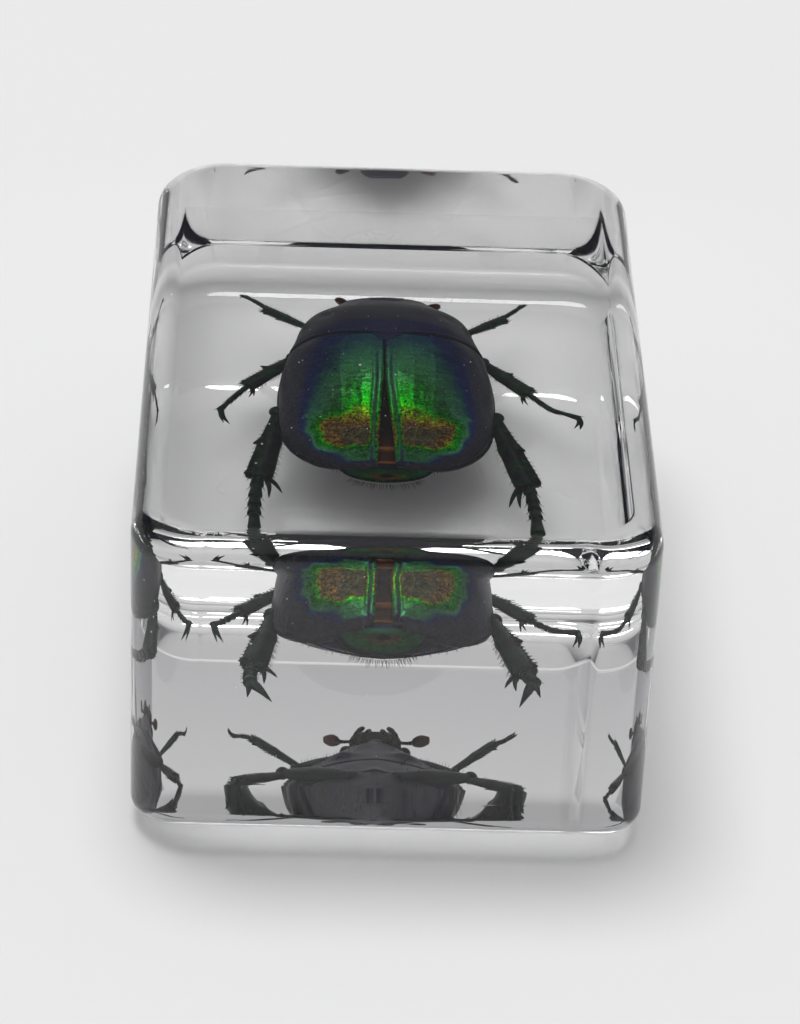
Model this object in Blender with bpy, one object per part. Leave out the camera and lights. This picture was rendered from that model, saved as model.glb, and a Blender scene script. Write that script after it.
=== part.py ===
"""A metallic green chafer beetle sealed in a block of clear cast resin.

+Z up, the origin at the middle of the block's underside, +Y towards the beetle's head. Every
size here is in millimetres, and each finished mesh is brought to metres by METRES_PER_MM.
The block is cast round the insect in two pours, which meet on a level plane at the height of the
beetle's margin. The beetle is one dried body, fused from its plates and limbs.
"""

import math

import bmesh
import bpy
from mathutils import Matrix, Vector

METRES_PER_MM = 0.001

# The block
BLOCK_WIDTH = 29.0
BLOCK_LENGTH = 44.0
BLOCK_HEIGHT = 21.1
CORNER_RADIUS = 3.9
CORNER_STEPS = 5

# The edges' rounding, as arcs that follow one another from the upright side to the flat face: each
# one's last angle in degrees, its radius and its steps
TOP_EDGE = ((90.0, 1.8, 5),)
BOTTOM_EDGE = ((10.0, 12.0, 2), (22.0, 4.0, 1), (40.0, 1.0, 1), (90.0, 5.4, 4))

# Where the two pours meet, the gap that keeps their solids apart, and the room round the beetle
POUR_HEIGHT = 7.9
POUR_GAP = 0.3
POCKET_ROOM = 0.65

# The beetle's body, seen from above, is symmetrical about this line
BODY_X = -0.35

# Stations from nose to tail: y, half width, back, margin and belly heights
BODY_STATIONS = (
    (13.0, 2.10, 9.05, 7.70, 6.60),
    (12.4, 2.70, 9.70, 7.95, 6.30),
    (11.5, 3.40, 10.55, 8.10, 6.05),
    (10.0, 4.80, 11.85, 8.00, 5.90),
    (7.85, 5.45, 12.95, 7.75, 5.65),
    (6.15, 5.90, 13.35, 7.60, 5.50),
    (3.35, 6.30, 13.75, 7.45, 5.40),
    (0.85, 6.35, 13.75, 7.40, 5.50),
    (-1.65, 6.15, 13.20, 7.45, 5.85),
    (-3.65, 5.50, 12.25, 7.75, 6.40),
    (-5.15, 4.20, 11.15, 8.15, 7.00),
    (-5.95, 2.90, 10.50, 8.80, 7.50),
    (-6.45, 1.50, 10.05, 9.55, 8.10),
)
NOSE_Y = 13.0
COLLAR_Y = 6.2
TAIL_Y = -6.45
SECTION_SQUARENESS = 2.3
BELLY_SQUARENESS = 1.6
HEAD_CENTRE = Vector((-0.25, 12.75, 7.45))
HEAD_TILT = math.radians(-35)
HEAD_POCKET = Vector((3.6, 2.6, 2.1))
ANTENNA_TIPS = {"left": (-2.92, 13.9, 6.85), "right": (2.75, 13.5, 6.5)}
PLATE_STEP = 0.3
TRUNK_DROP = 0.65
WING_CASE_THICKNESS = 0.95
SCUTELLUM_CORNERS = ((-1.25, 6.35, -0.12), (0.55, 6.35, -0.12), (-0.35, 4.75, 0.05))
TAIL_PLATE_CENTRE = Vector((-0.4, -5.3, 8.7))
TAIL_PLATE_RADII = Vector((2.85, 1.7, 1.3))
BELLY_SEGMENTS = 5
BELLY_STEP = 0.16
BELLY_SEGMENTS_START_Y = 0.85

# The gap between the wing cases, which opens towards the tail
SEAM_HALF_GAP = 0.07
TAIL_HALF_GAP = 0.75
SEAM_OPENS_Y = 0.35

# Limbs, from the joint at the body to the claws
LIMB_SIDES = 6
LIMBS = {
    "fore_left": {
        "thigh": ((-1.6, 9.1, 6.3), (-5.1, 10.15, 7.45)),
        "shin": ((-4.9, 10.16, 7.4), (-7.7, 12.87, 6.6)),
        "foot": ((-7.5, 12.79, 6.65), (-8.2, 13.54, 6.72), (-8.95, 14.09, 6.9)),
        "claws": ((-9.35, 14.46, 6.55), (-9.3, 14.26, 6.35)),
        "teeth": ((0.62, (-7.25, 11.54, 6.75)), (0.9, (-7.95, 12.15, 6.75))),
        "spurs": ((-7.9, 13.29, 6.35),),
        "bulk": (0.55, 0.26, 0.42, 0.13),
    },
    "fore_right": {
        "thigh": ((0.9, 9.1, 6.3), (4.6, 9.88, 7.45)),
        "shin": ((4.4, 9.89, 7.4), (7.0, 12.6, 6.4)),
        "foot": ((6.8, 12.52, 6.45), (7.55, 13.34, 6.52), (8.1, 14.09, 6.45)),
        "claws": ((8.5, 14.37, 6.35), (8.35, 14.32, 6.15)),
        "teeth": ((0.62, (6.6, 11.32, 6.55)), (0.9, (7.4, 11.94, 6.55))),
        "spurs": ((7.1, 13.12, 6.15),),
        "bulk": (0.55, 0.26, 0.42, 0.13),
    },
    "middle_left": {
        "thigh": ((-1.6, 4.25, 5.5), (-5.9, 7.35, 6.7)),
        "shin": ((-5.7, 7.35, 6.8), (-8.65, 4.35, 6.1)),
        "foot": ((-8.5, 4.55, 6.1), (-9.55, 2.8, 6.1), (-10.15, 1.6, 6.3)),
        "claws": ((-9.54, 0.6, 5.5), (-9.9, 0.8, 5.4)),
        "teeth": ((0.5, (-8.1, 6.5, 6.5)), (0.92, (-9.1, 5.05, 6.1))),
        "spurs": ((-8.2, 3.85, 5.3), (-8.5, 3.55, 5.5)),
        "bulk": (0.75, 0.36, 0.62, 0.17),
    },
    "middle_right": {
        "thigh": ((0.9, 4.25, 5.5), (5.5, 7.35, 6.7)),
        "shin": ((5.3, 7.35, 6.8), (8.25, 4.2, 6.2)),
        "foot": ((8.1, 4.35, 6.2), (9.5, 2.6, 6.15), (10.35, 2.15, 6.2), (11.1, 1.65, 6.35)),
        "claws": ((11.15, 0.9, 5.6), (10.8, 1.0, 5.6)),
        "teeth": ((0.5, (7.55, 6.35, 6.5)), (0.92, (8.7, 4.95, 6.3))),
        "spurs": ((7.85, 3.55, 5.5), (8.15, 3.35, 5.7)),
        "bulk": (0.75, 0.36, 0.62, 0.17),
    },
    "hind_left": {
        "thigh": ((-1.4, 0.8, 5.81), (-6.75, 0.8, 7.36)),
        "shin": ((-6.6, 0.8, 7.46), (-7.75, -5.65, 6.46)),
        "foot": ((-7.75, -5.3, 6.41), (-7.9, -8.3, 6.96), (-7.85, -12.2, 8.06)),
        "claws": ((-6.6, -12.85, 7.01), (-8.0, -13.0, 7.36)),
        "teeth": ((0.5, (-8.35, -2.7, 7.26)), (0.95, (-8.8, -5.4, 6.66))),
        "spurs": ((-6.35, -6.95, 6.26), (-7.1, -7.3, 5.96)),
        "bulk": (0.95, 0.42, 0.9, 0.31),
    },
    "hind_right": {
        "thigh": ((0.7, 0.8, 5.81), (6.1, 0.7, 7.41)),
        "shin": ((5.95, 0.7, 7.56), (7.85, -5.95, 6.56)),
        "foot": ((7.8, -5.6, 6.51), (8.05, -8.4, 7.16), (8.1, -11.8, 8.36)),
        "claws": ((7.35, -12.4, 6.86), (8.5, -12.6, 7.66)),
        "teeth": ((0.5, (7.95, -3.0, 7.56)), (0.95, (8.75, -5.7, 6.96))),
        "spurs": ((6.65, -7.9, 6.31), (7.3, -7.8, 6.06)),
        "bulk": (0.95, 0.42, 0.9, 0.31),
    },
}
FOOT_SEGMENTS = 5


def clear_scene():
    for obj in list(bpy.data.objects):
        bpy.data.objects.remove(obj, do_unlink=True)


def material(name, colour, roughness, metallic, transmission=0.0):
    made = bpy.data.materials.new(name)
    made.use_nodes = True
    shader = made.node_tree.nodes["Principled BSDF"]
    shader.inputs["Base Color"].default_value = (*colour, 1.0)
    shader.inputs["Roughness"].default_value = roughness
    shader.inputs["Metallic"].default_value = metallic
    shader.inputs["Transmission Weight"].default_value = transmission
    shader.inputs["IOR"].default_value = 1.5
    return made


def smooth_row(table, y):
    """The row of a table of stations at y, on smooth curves through the rows."""
    rows = sorted(table)
    if y <= rows[0][0]:
        return list(rows[0][1:])
    if y >= rows[-1][0]:
        return list(rows[-1][1:])
    after = next(i for i, row in enumerate(rows) if row[0] >= y)
    low = rows[after - 1]
    high = rows[after]
    before = rows[max(after - 2, 0)]
    beyond = rows[min(after + 1, len(rows) - 1)]
    step = high[0] - low[0]
    share = (y - low[0]) / step
    values = []
    for k in range(1, len(low)):
        slope_in = (high[k] - before[k]) / max(high[0] - before[0], 1e-9) * step
        slope_out = (beyond[k] - low[k]) / max(beyond[0] - low[0], 1e-9) * step
        values.append(hermite(low[k], high[k], slope_in, slope_out, share))
    return values


def hermite(start, end, slope_in, slope_out, share):
    squared = share * share
    cubed = squared * share
    return (
        (2 * cubed - 3 * squared + 1) * start
        + (cubed - 2 * squared + share) * slope_in
        + (3 * squared - 2 * cubed) * end
        + (cubed - squared) * slope_out
    )


def superellipse(angle, width, height, squareness=SECTION_SQUARENESS):
    """A point of a rounded cross-section: a squareness of 2 makes an ellipse."""
    power = 2.0 / squareness
    across = math.copysign(abs(math.cos(angle)) ** power, math.cos(angle))
    up = math.copysign(abs(math.sin(angle)) ** power, math.sin(angle))
    return across * width, up * height


def solid(name, rings):
    """A closed mesh object skinned over rings of equal point counts."""
    bm = bmesh.new()
    loops = [[bm.verts.new(point) for point in ring] for ring in rings]
    for near, far in zip(loops, loops[1:]):
        count = len(near)
        for i in range(count):
            j = (i + 1) % count
            bm.faces.new((near[i], near[j], far[j], far[i]))
    bm.faces.new(list(reversed(loops[0])))
    bm.faces.new(loops[-1])
    bmesh.ops.triangulate(bm, faces=bm.faces)
    bmesh.ops.recalc_face_normals(bm, faces=bm.faces)
    mesh = bpy.data.meshes.new(name)
    bm.to_mesh(mesh)
    bm.free()
    made = bpy.data.objects.new(name, mesh)
    bpy.context.collection.objects.link(made)
    return made


def tube(name, points, radii, sides=LIMB_SIDES, flatness=1.0, up=Vector((0, 0, 1))):
    """A closed limb along points; flatness is its thickness over its width."""
    rings = []
    for i, point in enumerate(points):
        ahead = points[min(i + 1, len(points) - 1)]
        behind = points[max(i - 1, 0)]
        along = (ahead - behind).normalized()
        side = along.cross(up).normalized()
        top = side.cross(along)
        ring = []
        for k in range(sides):
            angle = 2 * math.pi * k / sides
            ring.append(
                point
                + side * (math.cos(angle) * radii[i])
                + top * (math.sin(angle) * radii[i] * flatness)
            )
        rings.append(ring)
    return solid(name, rings)


def spike(name, base, tip, radius, bend=Vector((0, 0, 0)), sides=4):
    """A spine, spur or claw that tapers from base to tip, bowed by bend in the middle."""
    points = [base, base.lerp(tip, 0.5) + bend, tip]
    return tube(name, points, (radius, radius * 0.72, radius * 0.12), sides)


def fuse(name, shapes):
    """One closed object from overlapping closed shapes."""
    first, *others = shapes
    for other in others:
        joint = first.modifiers.new(other.name, "BOOLEAN")
        joint.operation = "UNION"
        joint.solver = "EXACT"
        joint.object = other
    return applied(name, first, others)


def applied(name, obj, helpers):
    """The object as its modifiers leave it, under a new name, with the helpers gone."""
    bpy.context.view_layer.update()
    graph = bpy.context.evaluated_depsgraph_get()
    mesh = bpy.data.meshes.new_from_object(obj.evaluated_get(graph))
    for helper in [obj, *helpers]:
        bpy.data.objects.remove(helper, do_unlink=True)
    mesh.name = name
    mesh.transform(Matrix.Scale(METRES_PER_MM, 4))
    mesh.materials.clear()
    made = bpy.data.objects.new(name, mesh)
    bpy.context.collection.objects.link(made)
    return made


# The beetle's body


def body_ring(y, side_inset, back_inset=None, belly_inset=None, points=20):
    """A whole cross-section of the body at y, drawn in by the insets."""
    width, back, margin, belly = smooth_row(BODY_STATIONS, y)
    back_inset = side_inset if back_inset is None else back_inset
    belly_inset = side_inset if belly_inset is None else belly_inset
    ring = []
    for k in range(points):
        angle = 2 * math.pi * k / points
        above = math.sin(angle) >= 0
        height = back - back_inset - margin if above else margin - belly - belly_inset
        squareness = SECTION_SQUARENESS if above else BELLY_SQUARENESS
        across, up = superellipse(angle, max(width - side_inset, 0.2), max(height, 0.1), squareness)
        ring.append(Vector((BODY_X + across, y, margin + up)))
    return ring


def spread(start, end, count):
    """Places from start to end, closer together towards the end."""
    return [start + (end - start) * math.sin(math.pi / 2 * k / (count - 1)) for k in range(count)]


def trunk():
    """The thorax and abdomen under the plates, with the belly's overlapping rings."""
    chest = [(y, 0.0) for y in spread(BELLY_SEGMENTS_START_Y, NOSE_Y - 0.8, 6)]
    length = (BELLY_SEGMENTS_START_Y - TAIL_Y - 0.25) / BELLY_SEGMENTS
    stations = list(reversed(chest))
    for k in range(BELLY_SEGMENTS):
        start = BELLY_SEGMENTS_START_Y - k * length
        stations.append((start - 0.12 * length, BELLY_STEP))
        stations.append((start - 0.95 * length, 0.0))
    rings = [body_ring(y, PLATE_STEP, TRUNK_DROP, step) for y, step in stations]
    return solid("trunk", rings)


def collar():
    """The pronotum, the plate between the head and the wing cases."""
    places = spread(COLLAR_Y, NOSE_Y, 8)
    rings = [body_ring(y, 0.0) for y in places]
    lip = body_ring(COLLAR_Y - 0.2, 0.14)
    return solid("collar", [lip, *rings])


def seam_half_gap(y):
    """Half the gap between the wing cases at y."""
    opened = (SEAM_OPENS_Y - y) / (SEAM_OPENS_Y - TAIL_Y)
    return SEAM_HALF_GAP + (TAIL_HALF_GAP - SEAM_HALF_GAP) * max(opened, 0.0) ** 1.4


def wing_case(name, side, steps=9):
    """One wing case: a domed shell from the seam to the body's margin."""
    rings = []
    for y in spread(COLLAR_Y + 0.5, TAIL_Y, 15):
        width, back, margin, _ = smooth_row(BODY_STATIONS, y)
        tuck = PLATE_STEP * min(max(y - COLLAR_Y + 0.35, 0.0) / 0.6, 0.8)
        width -= tuck
        back -= tuck
        inner_x = seam_half_gap(y)
        seam_angle = math.acos(min((inner_x / width) ** (SECTION_SQUARENESS / 2), 1.0))
        outside = [superellipse(seam_angle * (1 - k / steps), width, back - margin) for k in range(steps + 1)]
        thickness = min(WING_CASE_THICKNESS, 0.45 * (back - margin), 0.6 * (width - inner_x))
        inside = [
            (max(x - thickness * x / width, inner_x), z - thickness)
            for x, z in reversed(outside[::3])
        ]
        ring = [Vector((BODY_X + side * x, y, margin + z)) for x, z in outside + inside]
        rings.append(ring)
    return solid(name, rings)


def dome(name, centre, radii, sides=14, tilt=0.0):
    """A closed ellipsoid of rings along Y, turned about X by tilt."""
    rings = []
    turn = Matrix.Rotation(tilt, 3, "X")
    levels = 8
    for i in range(levels + 1):
        polar = math.pi * (0.04 + 0.92 * i / levels)
        ring = []
        for k in range(sides):
            angle = 2 * math.pi * k / sides
            local = Vector((
                math.cos(angle) * math.sin(polar) * radii[0],
                math.cos(polar) * radii[1],
                math.sin(angle) * math.sin(polar) * radii[2],
            ))
            ring.append(centre + turn @ local)
        rings.append(ring)
    return solid(name, rings)


def head():
    """The head with its flat, spade-like front, the eyes and the clubbed antennae."""
    crown = dome("head", HEAD_CENTRE, Vector((1.95, 1.5, 1.1)), tilt=HEAD_TILT)
    front = dome("head_front", HEAD_CENTRE + Vector((0.0, 0.85, -0.75)), Vector((1.55, 0.95, 0.5)), tilt=HEAD_TILT)
    shapes = [crown, front]
    for name, side in (("left", -1), ("right", 1)):
        eye = HEAD_CENTRE + Vector((side * 1.85, 0.1, -0.2))
        shapes.append(dome("eye_" + name, eye, Vector((0.42, 0.5, 0.5)), sides=8))
        root = HEAD_CENTRE + Vector((side * 1.4, 0.5, -0.7))
        elbow = HEAD_CENTRE + Vector((side * 2.05, 0.3, -0.75))
        tip = Vector(ANTENNA_TIPS[name])
        stalk = [root, elbow, elbow.lerp(tip, 0.4)]
        club = [elbow.lerp(tip, 0.2), elbow.lerp(tip, 0.6), tip]
        shapes.append(tube("stalk_" + name, stalk, (0.16, 0.14, 0.16), 5))
        shapes.append(tube("club_" + name, club, (0.16, 0.3, 0.2), 6))
    return shapes


def scutellum():
    """The small three-cornered plate at the top of the seam."""
    top = []
    for x, y, proud in SCUTELLUM_CORNERS:
        top.append(Vector((x, y, smooth_row(BODY_STATIONS, y)[1] + proud)))
    bottom = [corner - Vector((0, 0, 1.1)) for corner in top]
    return solid("scutellum", [bottom, top])


def tail_plate():
    """The pygidium, the bulging end plate below the tips of the wing cases."""
    return dome("tail_plate", TAIL_PLATE_CENTRE, TAIL_PLATE_RADII, tilt=math.radians(14))


# The beetle's limbs


def shin(name, limb):
    """A flattened shin that widens to its end."""
    start, end = (Vector(point) for point in limb["shin"])
    narrow = limb["bulk"][1]
    wide = limb["bulk"][2]
    points = [start.lerp(end, share) for share in (0.0, 0.2, 0.5, 0.8, 1.0)]
    radii = (narrow, narrow * 1.35, (narrow + wide) * 0.55, wide * 0.92, wide * 0.9)
    return tube(name + "_shin", points, radii, flatness=0.62)


def foot(name, limb):
    """The foot, a row of short joints that each widen to the end."""
    route = [Vector(point) for point in limb["foot"]]
    radius = limb["bulk"][3]
    points = []
    radii = []
    for joint in range(FOOT_SEGMENTS):
        for part, swell in ((0.06, 0.72), (0.86, 1.1), (0.97, 0.8)):
            points.append(along_route(route, (joint + part) / FOOT_SEGMENTS))
            radii.append(radius * swell)
    return tube(name + "_foot", points, radii, sides=5)


def along_route(route, share):
    """A point at this share of the way along a polyline."""
    lengths = [(b - a).length for a, b in zip(route, route[1:])]
    left = share * sum(lengths)
    for start, end, length in zip(route, route[1:], lengths):
        if left <= length:
            return start.lerp(end, left / length)
        left -= length
    return route[-1].copy()


def limb_shapes(name, limb):
    """The thigh, shin, foot, claws, teeth and spurs of one limb."""
    hip, knee = (Vector(point) for point in limb["thigh"])
    thigh_radius = limb["bulk"][0]
    thigh_points = [hip, hip.lerp(knee, 0.45), hip.lerp(knee, 0.85), knee]
    thigh_radii = (thigh_radius * 0.7, thigh_radius, thigh_radius * 0.7, thigh_radius * 0.45)
    shapes = [tube(name + "_thigh", thigh_points, thigh_radii, flatness=0.75), shin(name, limb), foot(name, limb)]
    start, end = (Vector(point) for point in limb["shin"])
    for i, (share, tip) in enumerate(limb["teeth"]):
        base = start.lerp(end, share - 0.06)
        shapes.append(spike(f"{name}_tooth_{i}", base, Vector(tip), limb["bulk"][2] * 0.5))
    for i, tip in enumerate(limb["spurs"]):
        base = start.lerp(end, 0.95)
        shapes.append(spike(f"{name}_spur_{i}", base, Vector(tip), limb["bulk"][3] * 0.75))
    ankle = Vector(limb["foot"][-1])
    bow = Vector((0, 0, limb["bulk"][3] * 1.1))
    for i, tip in enumerate(limb["claws"]):
        heel = ankle.lerp(Vector(limb["foot"][-2]), 0.05)
        shapes.append(spike(f"{name}_claw_{i}", heel, Vector(tip), limb["bulk"][3] * (0.72 - 0.12 * i), bow))
    return shapes


def beetle(finish):
    shapes = [trunk(), collar(), wing_case("wing_case_left", -1), wing_case("wing_case_right", 1)]
    shapes += [scutellum(), tail_plate()]
    shapes += head()
    for name, limb in LIMBS.items():
        shapes += limb_shapes(name, limb)
    made = fuse("beetle", shapes)
    made.data.materials.append(finish)
    return made


# The block


def outline(inset, height):
    """The block's rounded outline at a height, drawn in by inset."""
    radius = max(CORNER_RADIUS - inset * 0.6, 0.5)
    half_x = BLOCK_WIDTH / 2 - inset - radius
    half_y = BLOCK_LENGTH / 2 - inset - radius
    ring = []
    for quarter, (side_x, side_y) in enumerate(((1, 1), (-1, 1), (-1, -1), (1, -1))):
        for k in range(CORNER_STEPS + 1):
            angle = math.pi / 2 * (quarter + k / CORNER_STEPS)
            x = side_x * half_x + radius * math.cos(angle)
            y = side_y * half_y + radius * math.sin(angle)
            ring.append(Vector((x, y, height)))
    return ring


def rounded_edge(arcs):
    """Pairs of inset and drop along an edge of arcs, from the upright side to the flat face."""
    inset = 0.0
    drop = 0.0
    start = 0.0
    pairs = [(inset, drop)]
    for end_degrees, radius, steps in arcs:
        end = math.radians(end_degrees)
        for k in range(1, steps + 1):
            turn = start + (end - start) * k / steps
            before = start + (end - start) * (k - 1) / steps
            inset += radius * (math.cos(before) - math.cos(turn))
            drop += radius * (math.sin(turn) - math.sin(before))
            pairs.append((inset, drop))
        start = end
    return pairs


def lower_pour():
    """The first pour, from the underside to the level of the beetle's margin."""
    edge = rounded_edge(BOTTOM_EDGE)
    depth = edge[-1][1]
    rings = [outline(inset, depth - drop) for inset, drop in reversed(edge)]
    rings.append(outline(0.0, POUR_HEIGHT))
    return solid("lower_pour", rings)


def upper_pour():
    """The second pour, from just above the first one to the top face."""
    edge = rounded_edge(TOP_EDGE)
    depth = edge[-1][1]
    rings = [outline(0.0, POUR_HEIGHT + POUR_GAP)]
    rings += [outline(inset, BLOCK_HEIGHT - depth + drop) for inset, drop in edge]
    return solid("upper_pour", rings)


def pocket_shapes():
    """The space round the beetle: its body and each limb, drawn out by the pocket's room."""
    room = -POCKET_ROOM
    places = spread(NOSE_Y + 1.1, TAIL_Y - 1.2, 16)
    shapes = [solid("body_pocket", [body_ring(y, room, points=16) for y in places])]
    shapes.append(dome("head_pocket", HEAD_CENTRE + Vector((0.0, 0.35, -0.35)), HEAD_POCKET, sides=12))
    tail_room = TAIL_PLATE_RADII + Vector((POCKET_ROOM, POCKET_ROOM, POCKET_ROOM))
    shapes.append(dome("tail_pocket", TAIL_PLATE_CENTRE, tail_room, sides=12))
    for name, limb in LIMBS.items():
        route = [Vector(limb["thigh"][0]), Vector(limb["shin"][0]), Vector(limb["shin"][1])]
        route += [Vector(point) for point in limb["foot"][1:]]
        last = Vector(limb["claws"][0]) - Vector(limb["foot"][-1])
        route.append(Vector(limb["claws"][0]) + last.normalized() * POCKET_ROOM)
        bulk = limb["bulk"][2] + 2 * POCKET_ROOM
        thin = limb["bulk"][3] + 2 * POCKET_ROOM
        radii = [bulk, bulk, bulk] + [thin] * (len(route) - 3)
        shapes.append(tube(name + "_pocket", route, radii))
    return shapes


def pour_round_beetle(name, half, finish):
    """A pour with the pocket cut out of it."""
    cutters = pocket_shapes()
    for cutter in cutters:
        cut = half.modifiers.new(cutter.name, "BOOLEAN")
        cut.operation = "DIFFERENCE"
        cut.solver = "EXACT"
        cut.object = cutter
    made = applied(name, half, cutters)
    made.data.materials.append(finish)
    return made


def main():
    clear_scene()
    resin = material("clear_resin", (0.93, 0.94, 0.94), 0.03, 0.0, transmission=1.0)
    chitin = material("green_chitin", (0.02, 0.22, 0.05), 0.3, 0.7)
    beetle(chitin)
    pour_round_beetle("resin_lower", lower_pour(), resin)
    pour_round_beetle("resin_upper", upper_pour(), resin)


main()
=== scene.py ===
"""Looks of a green chafer beetle sealed in a block of clear cast resin.

Sizes are in millimetres until a mesh is finished, +Y runs towards the beetle's head and +Z is up.
"""

import random
from math import acos, atan, copysign, cos, degrees, exp, pi, radians, sin

import bmesh
import bpy
from mathutils import Matrix, Vector, noise

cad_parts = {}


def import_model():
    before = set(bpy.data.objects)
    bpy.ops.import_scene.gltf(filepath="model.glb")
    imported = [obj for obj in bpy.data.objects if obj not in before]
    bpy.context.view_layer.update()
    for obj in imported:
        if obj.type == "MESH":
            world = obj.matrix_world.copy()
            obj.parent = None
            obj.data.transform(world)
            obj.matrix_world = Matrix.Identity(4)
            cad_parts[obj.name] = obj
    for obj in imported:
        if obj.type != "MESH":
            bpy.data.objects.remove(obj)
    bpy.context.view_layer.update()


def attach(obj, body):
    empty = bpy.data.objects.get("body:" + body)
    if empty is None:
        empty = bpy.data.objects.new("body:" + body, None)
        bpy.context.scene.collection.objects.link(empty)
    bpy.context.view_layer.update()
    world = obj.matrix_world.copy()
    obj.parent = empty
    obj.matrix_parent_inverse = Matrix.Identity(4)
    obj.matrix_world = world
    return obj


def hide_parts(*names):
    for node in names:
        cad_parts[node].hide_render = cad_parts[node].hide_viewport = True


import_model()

MM = 0.001
UP = Vector((0, 0, 1))

# The photograph's camera: its aim on the block, distance, angles in degrees, lens and frame shift
AIM = Vector((0.0, 0.0, 0.008))
CAMERA_DISTANCE = 0.23464
CAMERA_ELEVATION = 33.506
CAMERA_AZIMUTH = -1.784
CAMERA_ROLL = -2.468
LENS_MM = 138.03
FRAME_SHIFT = (0.01197, 0.01405)

# The block
BLOCK = Vector((29.0, 44.0, 21.1))
CORNER_RADIUS = 3.9
RESIN_INDEX = 1.52

# Its edges as arcs from the upright side: end angle, radius, steps
TOP_EDGE = ((90.0, 1.8, 16),)
FRONT_FOOT = ((10.0, 12.0, 8), (22.0, 4.0, 6), (40.0, 1.0, 6), (90.0, 5.4, 16))
BACK_FOOT = ((16.0, 1.2, 8), (18.0, 60.0, 6), (90.0, 3.6, 22))
SIDE_FOOT = ((90.0, 1.7, 36),)
FOOT_STEPS = 36

# The beetle's body is symmetrical about BODY_X; its stations give y, half width, back, margin
# and belly heights
BODY_X = -0.35
BODY_STATIONS = (
    (13.0, 2.10, 9.05, 7.70, 6.60),
    (12.4, 2.70, 9.70, 7.95, 6.30),
    (11.5, 3.40, 10.55, 8.10, 6.05),
    (10.0, 4.80, 11.85, 8.00, 5.90),
    (7.85, 5.45, 12.95, 7.75, 5.65),
    (6.15, 5.90, 13.35, 7.60, 5.50),
    (3.35, 6.30, 13.75, 7.45, 5.40),
    (0.85, 6.35, 13.75, 7.40, 5.50),
    (-1.65, 6.15, 13.20, 7.45, 5.85),
    (-3.65, 5.50, 12.25, 7.75, 6.40),
    (-5.15, 4.20, 11.15, 8.15, 7.00),
    (-5.95, 2.90, 10.50, 8.80, 7.50),
    (-6.45, 1.50, 10.05, 9.55, 8.10),
)
SQUARENESS = 2.3
BELLY_SQUARENESS = 1.6
COLLAR_Y = 6.2
TAIL_Y = -6.45
HEAD_CENTRE = Vector((-0.25, 12.75, 7.45))
HEAD_TILT = radians(-35)
ANTENNA_TIPS = ((-3.35, 14.1, 7.0), (3.05, 13.75, 6.7))
TAIL_PLATE_CENTRE = Vector((-0.4, -5.3, 8.7))
TAIL_PLATE_RADII = Vector((2.85, 1.7, 1.3))
TAIL_PLATE_SPAN = 122
SEAM_HALF_GAP = 0.05
TAIL_HALF_GAP = 0.56
SEAM_OPENS_Y = 0.5

# The belly's overlapping rings: where the first starts, their number and length
BELLY_START = 0.85
BELLY_RINGS = 5
BELLY_RING = (BELLY_START - TAIL_Y - 0.25) / BELLY_RINGS

# Rear edges of the soft plates of the back
BACK_EDGES = (-2.2, -3.7, -5.05, -6.05)

# Stations of the head along its own length: place, half width, top and bottom
HEAD_STATIONS = (
    (-1.5, 1.20, 0.70, -0.60),
    (-0.9, 1.80, 0.95, -0.85),
    (-0.2, 1.95, 1.00, -0.95),
    (0.30, 1.80, 0.82, -0.85),
    (0.45, 1.62, 0.70, -0.75),
    (0.60, 1.60, 0.66, -0.68),
    (1.10, 1.58, 0.52, -0.50),
    (1.55, 1.36, 0.44, -0.28),
    (1.78, 1.10, 0.50, -0.10),
    (1.86, 0.98, 0.42, 0.02),
)

# A jaw's and the chin's runs, as seen from the head
JAW = ((0.95, 0.5, -0.6), (1.15, 1.1, -0.5), (0.5, 1.6, -0.3))
CHIN = ((0, -0.9, -1.0), (0, -0.1, -1.12), (0, 0.55, -0.95))

# Ribs of the wing cases: distance from the midline and height
WING_RIBS = ((1.55, 0.022), (2.75, 0.028), (3.9, 0.022))

# Knobs and dimples: height, then the place and reach across, then those along
WING_KNOBS = ((0.20, 4.15, 0.75, 4.9, 0.9), (0.24, 3.15, 0.6, -4.55, 0.55), (-0.05, 3.9, 0.5, 3.6, 0.8))
BREAST_KNOBS = (
    (0.34, 1.9, 0.75, 9.15, 0.55),
    (0.34, 1.7, 0.7, 4.6, 0.5),
    (0.22, 2.6, 1.6, 1.25, 0.5),
    (0.12, 0.0, 0.5, 5.3, 0.5),
)

# Specks that the photograph shows on the shell: x, y and radius, and on a leg: x, y, z and radius
SHELL_SPECKS = (
    (-1.98, 1.9, 0.085), (-5.55, 3.55, 0.045), (-5.35, 3.6, 0.04), (0.1, 0.9, 0.045), (-3.55, -0.4, 0.04),
    (-4.25, -2.6, 0.045), (0.15, -3.4, 0.04), (-1.55, -3.9, 0.035), (4.6, 3.9, 0.045), (-0.5, -2.9, 0.04),
    (-5.9, -2.55, 0.05), (3.55, 4.6, 0.03), (3.9, 4.3, 0.03), (4.2, 3.2, 0.03), (5.4, -1.9, 0.03),
)
LEG_SPECKS = ((-7.6, -3.1, 8.05, 0.07), (-7.9, -4.9, 7.7, 0.075), (-7.2, -1.2, 8.4, 0.05))

# How many scattered specks lie on the shell and in the resin, and hairs on each part
SHELL_DUST = 70
RESIN_DUST = 26
TAIL_HAIRS = 46
BELLY_HAIRS = 26
BREAST_HAIRS = 150
THIGH_HAIRS = 12

# The shell's iridescent sheen is painted: hue and brightness run in rings round the slope that faces this
# way, as the sheen looks from one fixed view, and on the tail plate round the last way; the meshes store a
# ring's degrees as a share of TONE_RANGE
TONE_RANGE = 90
PAINTED_SHEEN_WAY = Vector((0.0, -0.549, 0.836))
PAINTED_SHEEN_PITCH = 33.3
TAIL_PAINTED_SHEEN_WAY = Vector((0.0, -0.93, 0.365))
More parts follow.
